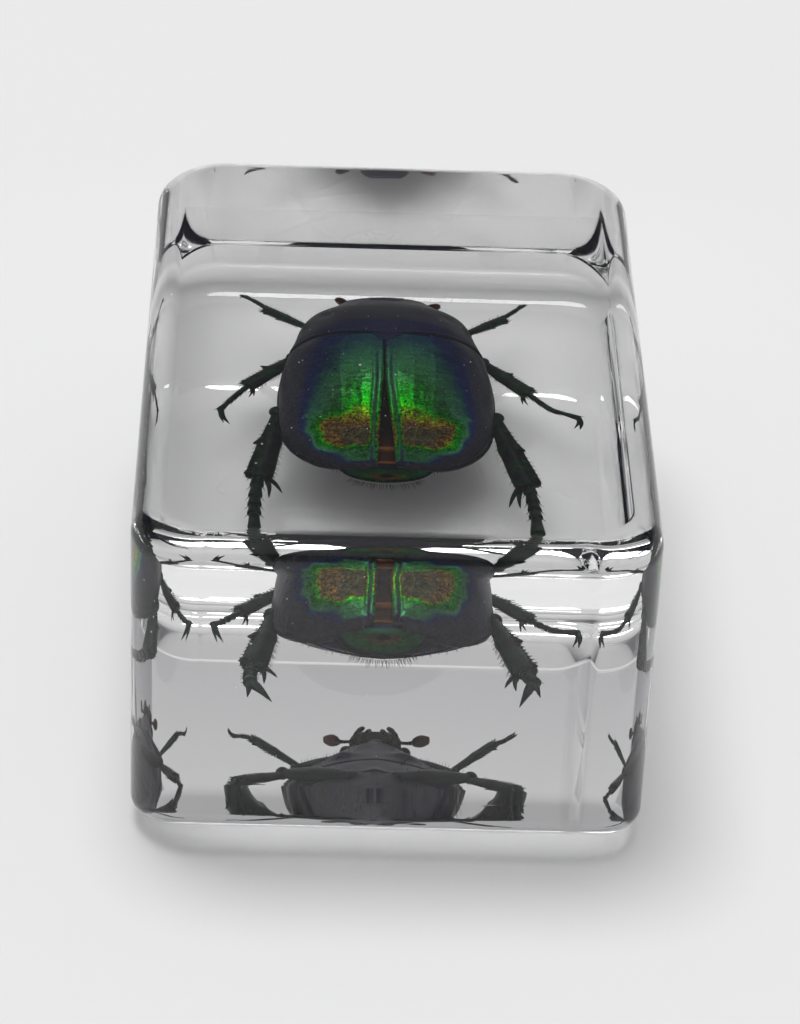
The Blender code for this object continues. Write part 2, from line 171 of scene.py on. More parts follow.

# How far sideways slopes move the painted sheen's ring: on the back, and where the wing cases fall to the
# tail
BACK_RINGS = ((8, 0), (13, 8), (20, 25), (38, 39), (46, 44), (55, 52), (75, 65))
FALL_RINGS = ((24, 0), (33, 5), (38, 14), (44, 22), (49, 39), (52, 45), (58, 53), (75, 65))
TAIL_RINGS = ((8, 0), (20, 12), (29, 30), (40, 42), (75, 62))

# The painted sheen's colours, bright and dark, in those rings from its direction outwards, in degrees, of the
# shell and the tail plate
SHELL_SHEEN_HUES = (
    (0, (0.050, 0.050, 0.024)),
    (2, (0.060, 0.044, 0.019)),
    (4, (0.120, 0.056, 0.014)),
    (7, (0.125, 0.160, 0.001)),
    (10, (0.046, 0.190, 0.001)),
    (14, (0.004, 0.210, 0.001)),
    (20, (0.004, 0.135, 0.005)),
    (27, (0.020, 0.125, 0.030)),
    (34, (0.038, 0.160, 0.068)),
    (39, (0.032, 0.125, 0.078)),
    (43, (0.018, 0.055, 0.075)),
    (47, (0.016, 0.022, 0.075)),
    (54, (0.024, 0.025, 0.036)),
    (75, (0.023, 0.023, 0.027)),
)
TAIL_SHEEN_HUES = (
    (0, (0.004, 0.004, 0.004)),
    (6, (0.006, 0.004, 0.004)),
    (9, (0.075, 0.022, 0.007)),
    (13, (0.040, 0.026, 0.006)),
    (17, (0.010, 0.042, 0.008)),
    (32, (0.006, 0.050, 0.022)),
    (40, (0.008, 0.024, 0.034)),
    (47, (0.008, 0.010, 0.034)),
    (56, (0.010, 0.010, 0.013)),
)

# The room's light by height
ROOM_STOPS = (
    (0.0, (0.62, 0.62, 0.63)),
    (0.20, (0.56, 0.56, 0.57)),
    (0.30, (0.16, 0.16, 0.17)),
    (0.50, (0.12, 0.12, 0.125)),
    (0.562, (0.12, 0.12, 0.125)),
    (0.58, (0.20, 0.20, 0.21)),
    (0.66, (0.45, 0.45, 0.45)),
    (0.82, (0.52, 0.52, 0.52)),
    (0.87, (0.60, 0.60, 0.60)),
    (1.0, (0.62, 0.62, 0.62)),
)

# The soft overhead lamp, the panel behind the block and the floor, in metres
LAMP_PLACE = Vector((-0.20, 0.20, 1.98))
LAMP_RADIUS = 0.54
LAMP_RADIANCE = 10.6
PANEL_SIZE = (0.05, 0.027)
PANEL_PLACE = (0.0, 0.06, 0.0325)
PANEL_RADIANCE = 0.2
FLOOR_HALF = 2.0
FLOOR_Z = -1e-4
FLOOR_GREY = (0.74, 0.74, 0.74)

# Half widths of the front, middle and hind limbs: thigh, shin at the knee, at its end, and foot
FORE_BULK = (0.55, 0.26, 0.42, 0.13)
MIDDLE_BULK = (0.75, 0.36, 0.62, 0.17)
HIND_BULK = (0.95, 0.42, 0.9, 0.31)
FOOT_JOINTS = (0.0, 0.19, 0.36, 0.52, 0.67, 1.0)


# Curves and sections


def hermite(start, end, slope_in, slope_out, share):
    squared = share * share
    cubed = squared * share
    return (
        (2 * cubed - 3 * squared + 1) * start
        + (cubed - 2 * squared + share) * slope_in
        + (3 * squared - 2 * cubed) * end
        + (cubed - squared) * slope_out
    )


def smooth_row(table, y):
    """The row of a table of stations at y, on smooth curves through the rows."""
    rows = sorted(table)
    y = min(max(y, rows[0][0]), rows[-1][0])
    after = max(next(i for i, row in enumerate(rows) if row[0] >= y), 1)
    low = rows[after - 1]
    high = rows[after]
    before = rows[max(after - 2, 0)]
    beyond = rows[min(after + 1, len(rows) - 1)]
    step = high[0] - low[0]
    values = []
    for k in range(1, len(low)):
        slope_in = (high[k] - before[k]) / max(high[0] - before[0], 1e-9) * step
        slope_out = (beyond[k] - low[k]) / max(beyond[0] - low[0], 1e-9) * step
        values.append(hermite(low[k], high[k], slope_in, slope_out, (y - low[0]) / step))
    return values


def body_row(y):
    """The body's half width, back, margin and belly at y."""
    return smooth_row(BODY_STATIONS, y)


def superellipse(angle, width, height, squareness=SQUARENESS):
    power = 2.0 / squareness
    across = copysign(abs(cos(angle)) ** power, cos(angle))
    up = copysign(abs(sin(angle)) ** power, sin(angle))
    return across * width, up * height


def hump(value, centre, reach):
    """A smooth bump of height 1 at centre, gone about two reaches away."""
    return exp(-(((value - centre) / reach) ** 2))


def humps(value, *rows):
    """The sum of bumps from (height, centre, reach) rows."""
    return sum(height * hump(value, centre, reach) for height, centre, reach in rows)


def knobs(x, y, rows):
    """The sum of round bumps from (height, x, reach in x, y, reach in y) rows."""
    return sum(row[0] * hump(x, row[1], row[2]) * hump(y, row[3], row[4]) for row in rows)


def ramp(value, start, end):
    """0 before start, 1 past end, and smooth between."""
    share = min(max((value - start) / (end - start), 0.0), 1.0)
    return share * share * (3 - 2 * share)


def between(value, places):
    """A value read off (place, number) pairs in rising order, straight between them."""
    for (low, first), (high, last) in zip(places, places[1:]):
        if value < high:
            share = max((value - low) / (high - low), 0.0)
            return first + (last - first) * share
    return places[-1][1]


def spread(start, end, count, power=1.0):
    """Places from start to end; a power above 1 draws them together at the start."""
    return [start + (end - start) * (1 - (1 - k / (count - 1)) ** (1 / power)) for k in range(count)]


def turns(count):
    """Even angles round a full turn."""
    return [2 * pi * k / count for k in range(count)]


def swollen(radius, count, start, end, least, more, power=1.0):
    """Radii that swell and shrink as a sine arch does from start to end, in half turns."""
    return [radius * (least + more * sin(pi * share) ** power) for share in spread(start, end, count)]


def through(points, count):
    """A smooth run of count points through the given ones."""
    points = [Vector(point) for point in points]
    lengths = [0.0]
    for a, b in zip(points, points[1:]):
        lengths.append(lengths[-1] + (b - a).length)
    table = [(length, *point) for length, point in zip(lengths, points)]
    return [Vector(smooth_row(table, place)) for place in spread(0.0, lengths[-1], count)]


def point_at(route, share):
    """A point at a share of an even run; past either end it runs on straight."""
    place = share * (len(route) - 1)
    low = min(max(int(place), 0), len(route) - 2)
    return route[low] + (route[low + 1] - route[low]) * (place - low)


def resampled(points, count):
    """The same run of points with another count of them."""
    return [point_at(points, share) for share in spread(0.0, 1.0, count)]


def unit_noise(point, scale, seed=0.0):
    return noise.noise(Vector(point) * scale + Vector((seed, seed * 1.7, seed * 0.6)))


# Meshes


def bands(bm, rings):
    """Faces over rings of equal point counts; returns the vertices by ring."""
    loops = [[bm.verts.new(point) for point in ring] for ring in rings]
    for near, far in zip(loops, loops[1:]):
        count = len(near)
        for i in range(count):
            j = (i + 1) % count
            bm.faces.new((near[i], near[j], far[j], far[i]))
    return loops


def skin(bm, rings):
    """A surface over the rings, closed at both ends."""
    loops = bands(bm, rings)
    for loop, flip in ((loops[0], True), (loops[-1], False)):
        middle = bm.verts.new(sum((v.co for v in loop), Vector()) / len(loop))
        order = loop[::-1] if flip else loop
        for a, b in zip(order, order[1:] + order[:1]):
            bm.faces.new((a, b, middle))


def tube(bm, points, radii, sides=12, flatness=1.0, up=UP, shape=lambda angle: 1.0):
    """A tube round a run of points; shape scales its radius by angle."""
    rings = []
    last = len(points) - 1
    for i, point in enumerate(points):
        along = (points[min(i + 1, last)] - points[max(i - 1, 0)]).normalized()
        side = along.cross(up).normalized()
        top = side.cross(along)
        ring = []
        for angle in turns(sides):
            radius = radii[i] * shape(angle)
            ring.append(point + side * (cos(angle) * radius) + top * (sin(angle) * radius * flatness))
        rings.append(ring)
    skin(bm, rings)


def spine(bm, base, tip, radius, bend=Vector(), sides=6, steps=5, flatness=1.0):
    """A tapered spine, bowed by bend in its middle and closed at both ends."""
    points = through([base, base.lerp(tip, 0.5) + bend, tip], steps + 1)
    radii = [radius * (1 - k / steps) ** 0.7 * 0.94 + radius * 0.06 for k in range(steps + 1)]
    along = (tip - base).normalized()
    up = UP if abs(along.z) < 0.9 else Vector((0, 1, 0))
    tube(bm, points, radii, sides, flatness, up)


def rounded_body(bm, centre, radii, levels=14, sides=20, wobble=0.0):
    """A closed rounded body whose surface wavers a little."""
    rings = []
    for i in range(1, levels):
        polar = pi * i / levels
        ring = []
        for angle in turns(sides):
            way = Vector((cos(angle) * sin(polar), cos(polar), sin(angle) * sin(polar)))
            scale = 1 + wobble * unit_noise(way, 2.0, centre[0])
            ring.append(centre + way * Vector(radii) * scale)
        rings.append(ring)
    skin(bm, rings)


def added(name, data):
    """A new object of the scene."""
    obj = bpy.data.objects.new(name, data)
    bpy.context.scene.collection.objects.link(obj)
    return obj


def piece(name, bm, made, tone=None):
    """A finished object of the beetle in metres, riding on the root body; tone paints its hue, which on the
    shell's plates is a painted sheen.
    """
    bmesh.ops.recalc_face_normals(bm, faces=bm.faces)
    mesh = bpy.data.meshes.new(name)
    bm.to_mesh(mesh)
    bm.free()
    for face in mesh.polygons:
        face.use_smooth = True
    if tone:
        tones = [tone(vertex.co, vertex.normal) for vertex in mesh.vertices]
        mesh.attributes.new("tone", "FLOAT", "POINT").data.foreach_set("value", tones)
    mesh.transform(Matrix.Scale(MM, 4))
    mesh.materials.append(made)
    obj = added(name, mesh)
    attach(obj, "root")
    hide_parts("beetle")


def plate(name, rings, made, tone=None):
    """A piece of one closed surface over the rings."""
    bm = bmesh.new()
    skin(bm, rings)
    piece(name, bm, made, tone)


def ringed(name, ring, start, end, count, made, tone=None):
    """A plate over count rings that a function of their place gives."""
    plate(name, [ring(place) for place in spread(start, end, count)], made, tone)


# The painted sheen and shade, by slope


def dome_height(x, y, most=0.999):
    """The height of the bare dome over the back, at a distance from the midline."""
    width, back, margin, _ = body_row(y)
    across = min(abs(x) / width, most)
    return margin + (back - margin) * (1 - across**SQUARENESS) ** (1 / SQUARENESS)


def dome_sheen(x, y):
    """The ring of the painted sheen, in degrees, that the bare dome's slopes give there."""
    pitch = degrees(atan((dome_height(0.0, y + 0.2) - dome_height(0.0, y - 0.2)) / 0.4))
    lean = degrees(atan((dome_height(x - 0.05, y) - dome_height(x + 0.05, y)) / 0.1))
    blur = 0.30 * unit_noise((x, y, 0.0), 1.3, 11.0) + 0.16 * unit_noise((x, y, 0.0), 4.0, 13.0)
    lean *= 1 - 0.16 * ramp(y, 1.0, 4.0)
    lean += 14 * blur
    along = max(PAINTED_SHEEN_PITCH - pitch + 6 * blur, 0.0) + 31 * ramp(y + blur, -4.75, -5.3)
    beside = between(lean, BACK_RINGS)
    beside += (between(lean, FALL_RINGS) - beside) * ramp(y + blur, -1.6, -3.1)
    beside += (between(lean, TAIL_RINGS) - beside) * ramp(y + blur, -4.85, -5.4)
    return (along**2.6 + beside**2.6) ** (1 / 2.6)


def degrees_off(way, axis):
    """The angle in degrees between a direction and a unit axis."""
    return degrees(acos(max(min(way.normalized().dot(axis), 1.0), -1.0)))


def plate_sheen(point, normal):
    """The pronotum's and head's painted sheen, from the dome and a little from their own relief, held in the
    dark outer rings.
    """
    own = degrees_off(normal, PAINTED_SHEEN_WAY)
    if point.y < 12.5 and normal.z > 0:
        own = 0.85 * dome_sheen(abs(point.x - BODY_X), point.y) + 0.15 * own
    return max(own, 51.0) / TONE_RANGE


def wing_sheen(point, normal):
    """A wing case's painted sheen: bright and dark rings round the sheen direction, the striped seam edge,
    the knobs, and the rim and underside in the darkest rings.
    """
    y = point.y
    side = 1 if point.x > BODY_X - seam_lean(y) else -1
    x = side * (point.x - BODY_X)
    _, _, margin, inner = wing_frame(y, side)
    tone = dome_sheen(abs(x), y)
    tone += (degrees_off(normal, PAINTED_SHEEN_WAY) - tone) * 0.15 * ramp(tone, 6.0, 16.0)
    tone += (4.2 - tone) * 0.9 * hump(x, 3.25, 0.6) * hump(y, -4.4, 0.45)
    from_seam = x - inner
    stripe = ramp(y, 4.5, 1.0)
    tone += (45 - tone) * 0.8 * stripe * hump(from_seam, 0.36, 0.15)
    tone += (9 - tone) * 0.75 * stripe * ramp(y, 0.5, -2.0) * hump(from_seam, 0.03, 0.06)
    # The rim and the tail tip are painted into the dark outer rings of the sheen.
    rim = max(ramp(point.z, margin + 0.55, margin + 0.2), ramp(y, -6.1, -6.3))
    tone += (70 - tone) * rim
    return (75 if normal.z < -0.2 else tone) / TONE_RANGE


def tail_sheen(point, normal):
    """The end plate's painted sheen: rings round its pit, flattened like a lens, with the pit itself painted
    near black.
    """
    offset = point - TAIL_PLATE_CENTRE
    way = Vector([part / radius for part, radius in zip(offset, TAIL_PLATE_RADII)]).normalized()
    off = degrees_off(way, TAIL_PAINTED_SHEEN_WAY.normalized())
    tone = 0.46 * off + 6 + 14 * ramp(way.z, 0.40, 0.60) + 20 * ramp(way.z, 0.66, 0.76)
    if off < 7:
        tone = 0
    tone += 45 * ramp(off, 50, 60) * ramp(way.z, 0.25, 0.05)
    return tone / TONE_RANGE


# Materials


class Graph:
    """The nodes that feed one shader; a value given to it is a socket, number or colour."""

    def __init__(self, owner, shader="Principled BSDF"):
        owner.use_nodes = True
        self.owner = owner
        self.tree = owner.node_tree
        self.shader = self.tree.nodes[shader]

    def feed(self, made, values):
        """Sets a node's inputs by name or number."""
        for key, value in values.items():
            socket = made.inputs[key]
            if isinstance(value, bpy.types.NodeSocket):
                self.tree.links.new(value, socket)
            else:
                socket.default_value = (*value, 1) if isinstance(value, tuple) else value

    def finish(self, values):
        """The material, with these inputs of its shader set."""
        self.feed(self.shader, values)
        return self.owner

    def node(self, kind, output, values=None, **properties):
        """An output of a new node with these inputs and properties."""
        made = self.tree.nodes.new("ShaderNode" + kind)
        for key, value in properties.items():
            setattr(made, key, value)
        self.feed(made, values or {})
        return made.outputs[output]

    def place(self, scale=(1, 1, 1)):
        """Object coordinates in millimetres, stretched by scale."""
        values = {"Vector": self.node("TexCoord", "Object"), "Scale": [1000 * s for s in scale]}
        return self.node("Mapping", "Vector", values)

    def painted(self):
        """The tone stored at the mesh's vertices."""
        return self.node("Attribute", "Fac", attribute_name="tone")

    def noise(self, vector, scale, detail=2.0, rough=0.5, distortion=0.0):
        values = {"Vector": vector, "Scale": scale, "Detail": detail, "Roughness": rough}
        return self.node("TexNoise", "Fac", {**values, "Distortion": distortion})

    def pits(self, vector, scale, reach):
        """0 in the middle of each scattered pit and 1 at its rim."""
        return self.remap(self.node("TexVoronoi", "Distance", {"Vector": vector, "Scale": scale}), 0.0, reach)

    def part(self, vector, axis):
        return self.node("SeparateXYZ", axis, {"Vector": vector})

    def math(self, operation, first, second):
        return self.node("Math", "Value", {0: first, 1: second}, operation=operation)

    def times(self, first, second):
        return self.math("MULTIPLY", first, second)

    def remap(self, value, low, high, new_low=0.0, new_high=1.0):
        return self.node("MapRange", "Result", {0: value, 1: low, 2: high, 3: new_low, 4: new_high})

    def ramp(self, value, stops):
        made = self.tree.nodes.new("ShaderNodeValToRGB")
        points = made.color_ramp.elements
        while len(points) < len(stops):
            points.new(0.5)
        for point, (place, colour) in zip(points, stops):
            point.position = place
            point.color = (*colour, 1)
        self.feed(made, {"Fac": value})
        return made.outputs["Color"]

    def mix(self, kind, share, first, second):
        """A colour mix."""
        return self.node("Mix", 2, {0: share, 6: first, 7: second}, data_type="RGBA", blend_type=kind)

    def tint(self, first, second):
        return self.mix("MULTIPLY", 1.0, first, second)

    def bump(self, *heights):
        """Bump from (height socket, strength, depth in millimetres) rows, one over another."""
        under = {}
        for height, strength, depth in heights:
            values = {"Height": height, "Strength": strength, "Distance": depth * MM, **under}
            under = {"Normal": self.node("Bump", "Normal", values)}
        self.feed(self.shader, under)


def new_material(name):
    return Graph(bpy.data.materials.new(name))


def shell_material(name, sheen_hues, rough, sparkle, wrinkle):
    """Iridescent plate: painted sheen rings, broken up by painted glints and shade that follow its bumped
    wrinkles, curls and grain, with pits and a soft gloss.
    """
    graph = new_material(name)
    place = graph.place()
    painted = graph.painted()
    broad = graph.noise(place, 0.9)
    curls = graph.noise(place, 3.6, 2.0, 0.6, 1.6)
    fine = graph.noise(place, 5.5, 3.0, 0.62, 0.8)
    ridges = graph.noise(graph.place((0.55, 2.6, 1.0)), 1.5, 3.0, 0.55, 0.6)
    tone = graph.math("ADD", painted, graph.times(graph.math("SUBTRACT", broad, 0.5), 0.05))
    # Painted sparkle: its share is largest in the brightest rings of the painted sheen.
    sparkle_share = graph.remap(painted, 0.20, 0.36, sparkle, 0.3 * sparkle)
    sparkle_share = graph.times(sparkle_share, graph.remap(painted, 0.01, 0.09, 0.75, 1.0))
    wander = graph.remap(painted, 0.0, 0.10, 0.13, 0.18)
    shift = graph.times(graph.math("SUBTRACT", curls, 0.5), wander)
    tone = graph.math("ADD", tone, graph.times(shift, sparkle_share))
    colour = graph.ramp(tone, [(turn / TONE_RANGE, colour) for turn, colour in sheen_hues])
    # Painted glints and shade: the grain, curls and wrinkles that the bump raises also lighten the colour on
    # their crests and darken it in their hollows.
    grain_sparkle = graph.remap(fine, 0.36, 0.64, 0.20, 2.1)
    curl_hollow_shade = graph.remap(curls, 0.42, 0.56, 0.45, 1.25)
    wrinkled = graph.remap(ridges, 0.38, 0.62, 0.72, 1.25)
    relief_glints_and_shade = graph.tint(graph.tint(grain_sparkle, curl_hollow_shade), wrinkled)
    shade = graph.mix("MIX", sparkle_share, (1.0, 1.0, 1.0), relief_glints_and_shade)
    metal = graph.times(graph.remap(tone, 0.50, 0.62, 1.0, 0.0), graph.remap(tone, 0.03, 0.10, 0.1))
    pits = graph.pits(place, 3.4, 0.28)
    waves = ((ridges, 0.5 * wrinkle, 0.05), (curls, 0.45 * sparkle, 0.05))
    graph.bump(*waves, (pits, 0.4, 0.02), (fine, 0.3, 0.02))
    values = {
        "Base Color": graph.tint(colour, shade),
        "Metallic": metal,
        "IOR": 1.10,
        "Specular Tint": (0.1, 0.12, 0.25),
        "Roughness": graph.remap(fine, 0.3, 0.7, rough - 0.07, rough + 0.09),
    }
    return graph.finish(values)


def dark_material(name, colour, sheen_colour, rough, metallic=0.0, grain=6.0):
    """Nearly black chitin, mottled and pitted, with a faint metallic colour."""
    graph = new_material(name)
    place = graph.place()
    share = graph.remap(graph.noise(place, 1.3, 3.0, 0.6, 0.5), 0.45, 0.68)
    fine = graph.noise(place, grain, 3.0, 0.6)
    graph.bump((graph.pits(place, grain * 0.7, 0.3), 0.5, 0.03), (fine, 0.4, 0.03))
    base = graph.mix("MIX", share, colour, sheen_colour)
    gloss = graph.remap(fine, 0.3, 0.7, rough - 0.08, rough + 0.12)
    return graph.finish({"Base Color": base, "Metallic": metallic, "IOR": 1.16, "Roughness": gloss})


def back_material():
    """Brown, softer plates with orange rear edges."""
    graph = new_material("back_plates")
    place = graph.place()
    fine = graph.noise(place, 5.0, 3.0, 0.6)
    tail = graph.remap(graph.part(place, "Y"), -3.6, -5.0)
    ground = graph.mix("MIX", tail, (0.004, 0.004, 0.005), (0.034, 0.013, 0.008))
    edge = graph.times(graph.painted(), tail)
    colour = graph.mix("MIX", edge, ground, (0.24, 0.085, 0.020))
    base = graph.tint(colour, graph.remap(fine, 0.3, 0.7, 0.7, 1.3))
    gloss = graph.remap(fine, 0.3, 0.7, 0.45, 0.7)
    graph.bump((fine, 0.5, 0.04))
    return graph.finish({"Base Color": base, "Roughness": gloss, "IOR": 1.12})


def small_material(name, scale, stops, smooth, rough, index):
    """A colour and gloss that vary slowly from hair to hair or from speck to speck."""
    graph = new_material(name)
    shade = graph.noise(graph.place(), scale)
    gloss = graph.remap(shade, 0.3, 0.7, smooth, rough)
    return graph.finish({"Base Color": graph.ramp(shade, stops), "Roughness": gloss, "IOR": index})


def resin_material():
    """Clear cast resin with hair-fine polishing scratches."""
    graph = new_material("clear_resin")
    scratch = graph.noise(graph.place((0.02, 0.02, 3.0)), 1.0, 1.0)
    graph.bump((graph.remap(scratch, 0.66, 0.72), 0.1, 0.004))
    values = {"Base Color": (1, 1, 1), "Transmission Weight": 1.0, "IOR": RESIN_INDEX, "Roughness": 0.0}
    return graph.finish(values)


# The beetle's plates


def seam_lean(y):
    """How far the seam lies to the left of the body's middle."""
    return 0.2 - 0.14 * ramp(y, 0.0, -6.0)


def wing_frame(y, side):
    """A wing case's half width, back, margin and seam edge at y."""
    width, back, margin, _ = body_row(y)
    tuck = 0.3 * ramp(y, 5.75, 6.25)
    opened = max((SEAM_OPENS_Y - y) / (SEAM_OPENS_Y - TAIL_Y), 0.0)
    inner = SEAM_HALF_GAP + (TAIL_HALF_GAP - SEAM_HALF_GAP) * opened**1.05 - side * seam_lean(y)
    return width - tuck, back - tuck, margin, inner


def wing_point(shape, share, y):
    """A point of the bare dome, as distance from the midline, y and height."""
    width, back, margin, inner = shape
    seam_angle = acos(copysign(min(abs(inner / width) ** (SQUARENESS / 2), 1.0), inner))
    x, z = superellipse(seam_angle * (1 - share), width, back - margin)
    return Vector((x, y, margin + z))


def wing_relief(x, y, from_seam, from_margin):
    """How far a wing case stands proud of its bare dome."""
    relief = ramp(y, 6.0, 2.0) * humps(from_seam, (0.11, 0.2, 0.17), (-0.10, 0.5, 0.1))
    relief += humps(from_margin, (0.10, 0.1, 0.14), (-0.05, 0.42, 0.12))
    faded = ramp(y, -5.4, -4.0) * ramp(y, 6.0, 4.6)
    relief += faded * sum(height * hump(x, line + 0.05 * sin(y), 0.14) for line, height in WING_RIBS)
    relief += knobs(x, y, WING_KNOBS)
    wrinkled = ramp(x, 0.7, 1.6) * ramp(x, 5.2, 4.2) * ramp(y, 5.2, 3.2) * ramp(y, -3.4, -1.2)
    relief += 0.026 * wrinkled * unit_noise((x * 0.5, y * 2.6, 0.0), 1.4, 3.0)
    relief += 0.016 * ramp(y, 1.5, -0.5) * unit_noise((x, y, 0.0), 2.6, 9.0)
    return relief + 0.03 * unit_noise((x, y, 0.0), 0.5, 5.0)


def wing_case(name, side, made, rows=170, steps=100):
    """One wing case, a closed shell with its seam bead, rim, ribs, wrinkles and two knobs."""
    rings = []
    step = 0.01
    for y in spread(COLLAR_Y + 0.5, TAIL_Y, rows, 1.6):
        here = wing_frame(y, side)
        behind = wing_frame(y - step, side)
        outside = []
        for share in spread(0.0, 1.0, steps + 1):
            point = wing_point(here, share, y)
            along = wing_point(behind, share, y - step) - point
            beside = wing_point(here, min(share + 0.004, 1.0), y)
            beside -= wing_point(here, max(share - 0.004, 0.0), y)
            normal = along.cross(beside)
            normal = -normal.normalized() if normal.z < 0 else normal.normalized()
            from_margin = (point - wing_point(here, 1.0, y)).length
            from_margin = min(from_margin, (y - TAIL_Y) * 0.8 + 0.02)
            outside.append(point + normal * wing_relief(point.x, y, point.x - here[3], from_margin))
        width, back, margin, inner = here
        tongue = 0.2 * ramp(y, 0.3, 1.0) if side < 0 else 0.0
        rim = outside[-1]
        fold = [rim + Vector((-0.06, 0, -0.2)), rim + Vector((-0.5, 0, -0.16))]
        thickness = min(0.32, 0.4 * (back - margin), 0.5 * (width - inner))
        inside = []
        for k in range(steps, -1, -5):
            point = wing_point(here, k / steps, y)
            x = max(point.x - thickness * point.x / width, inner)
            inside.append(Vector((x if k else x - tongue, y, point.z - thickness)))
        inside = [point for point in inside if point.z > margin + 0.05 or point.x < width * 0.9]
        rings.append([Vector((BODY_X + side * p.x, p.y, p.z)) for p in outside + fold + inside])
    kept = steps + 3
    count = min(len(ring) for ring in rings) - kept
    plate(name, [ring[:kept] + resampled(ring[kept:], count) for ring in rings], made, wing_sheen)


def collar_edges(x):
    """The rear and front edges of the pronotum at a distance from the midline."""
    rear = 6.32 - 0.34 * hump(x, 0.0, 1.9) - 0.16 * ramp(abs(x), 4.2, 5.6)
    front = 12.0 + 0.55 * ramp(abs(x), 0.8, 2.9)
    return rear, front


def pronotum_ring(share, steps=140):
    """A ring of the plate behind the head, with its rim and dimples, from its base to its front."""
    outside = []
    inside = []
    for k in range(steps + 1):
        angle = pi * k / steps
        rear, front = collar_edges(6.0 * cos(angle))
        y = rear + (front - rear) * share
        width, back, margin, _ = body_row(y)
        x, z = superellipse(angle, width, back - margin)
        point = Vector((BODY_X + x, y, margin + z))
        normal = Vector((x / width, 0.35 * ramp(y, 8.0, 12.5), z / (back - margin))).normalized()
        relief = humps(2.2 * min(angle, pi - angle), (0.08, 0.1, 0.13), (-0.06, 0.38, 0.12))
        relief += humps(min(y - rear, front - y), (0.05, 0.08, 0.1), (-0.035, 0.28, 0.09))
        relief -= 0.10 * hump(abs(x), 3.7, 0.5) * hump(y, 9.1, 0.5)
        relief -= 0.02 * hump(x, 0.0, 0.12) * ramp(y, 11.4, 10.4)
        relief += 0.02 * unit_noise((x, y, z), 0.8, 2.0)
        outside.append(point + normal * relief)
        if k % 5 == 0:
            under = point - normal * 0.3
            under.z = max(under.z, margin - 0.15)
            inside.append(under)
    return outside + inside[::-1]


def scutellum_ring(share):
    """A ring of the small three-cornered plate at the head of the seam, from its base to its tip."""
    y = 6.45 - 1.62 * share
    half = (1 - share**1.5) ** 0.8 + 0.02
    back = body_row(y)[1]
    sunk = back - 0.13 + 0.13 * ramp(share, 0.1, 0.5)
    for across in spread(-1, 1, 15):
        lift = 0.05 * (1 - across**2) + 0.04 * hump(abs(across), 0.9, 0.12)
        yield Vector((BODY_X + across * half, y, sunk + lift))
    for across in spread(1, -1, 8):
        yield Vector((BODY_X + across * half * 0.9, y, back - 0.45))


def ring_point(row, angle, side_inset, back_inset, belly_inset):
    """A point of the body's whole cross-section, drawn in by the insets."""
    width, back, margin, belly = row
    above = sin(angle) >= 0
    height = back - back_inset - margin if above else margin - belly - belly_inset
    squareness = SQUARENESS if above else BELLY_SQUARENESS
    x, z = superellipse(angle, max(width - side_inset, 0.2), max(height, 0.1), squareness)
    return x, margin + z


def breast_relief(x, y):
    """The seams, hips and middle groove of the underside of the thorax."""
    relief = -0.15 * hump(y, 7.7, 0.13)
    relief -= 0.12 * hump(y, 5.15 - 0.18 * x, 0.1)
    relief -= 0.15 * hump(y, 2.0 - 0.1 * x, 0.1)
    relief -= 0.10 * hump(x, 0.0, 0.12) * ramp(y, 1.9, 2.4) * ramp(y, 5.4, 4.8)
    relief -= 0.08 * hump(x, 3.9, 0.18) * ramp(y, 2.2, 2.8) * ramp(y, 7.4, 6.9)
    return relief + knobs(x, y, BREAST_KNOBS)


def breast_ring(y, steps=120):
    """A ring of the underside of the thorax."""
    shape = body_row(y)
    for angle in turns(steps):
        x, z = ring_point(shape, angle, 0.34, 0.7, 0.0)
        if z < shape[2]:
            z -= breast_relief(abs(x), y) * ramp(shape[2] - z, 0.1, 0.8)
            z += 0.03 * unit_noise((x, y, z), 1.2, 4.0)
        yield Vector((BODY_X + x, y, z))


def belly_lift(y):
    """How far the belly's overlapping rings step in at y, from 0 at a ring's rear edge."""
    place = ((BELLY_START - y) / BELLY_RING) % 1.0
    return 0.17 * (1 - ramp(place, 0.0, 0.9)) + 0.05 * ramp(place, 0.95, 1.0)


def belly_ring(y, steps=110):
    """A ring of the abdomen, whose plates overlap below and at the sides."""
    shape = body_row(y)
    for angle in turns(steps):
        lift = belly_lift(y + 0.35 * cos(angle) ** 2 * ramp(y, -6.0, -4.0))
        x, z = ring_point(shape, angle, 0.34 + lift * 0.4, 1.15, lift)
        if z < shape[2]:
            z += 0.015 * unit_noise((x, y, z), 2.0, 6.0)
        yield Vector((BODY_X + x, y, z))


def back_ring(y, steps=31):
    """A ring of the soft plates of the back that show through the open seam."""
    lift = sum(humps(y - edge, (0.10, 0.07, 0.09), (-0.06, -0.09, 0.08)) for edge in BACK_EDGES)
    half = min(2.6, body_row(y)[0] * 0.55)
    ring = []
    for x in spread(-half, half, steps):
        z = dome_height(x, y) - 0.62 + lift + 0.02 * unit_noise((x, y, 0), 3.0)
        ring.append(Vector((BODY_X + x, y, z)))
    return ring + [point - UP * 0.3 for point in ring[::-3]]


def back_tone(point, normal):
    """1 on the pale rear edge of a plate of the back and 0 elsewhere."""
    return max(hump(point.y, edge + 0.06, 0.1) for edge in BACK_EDGES)


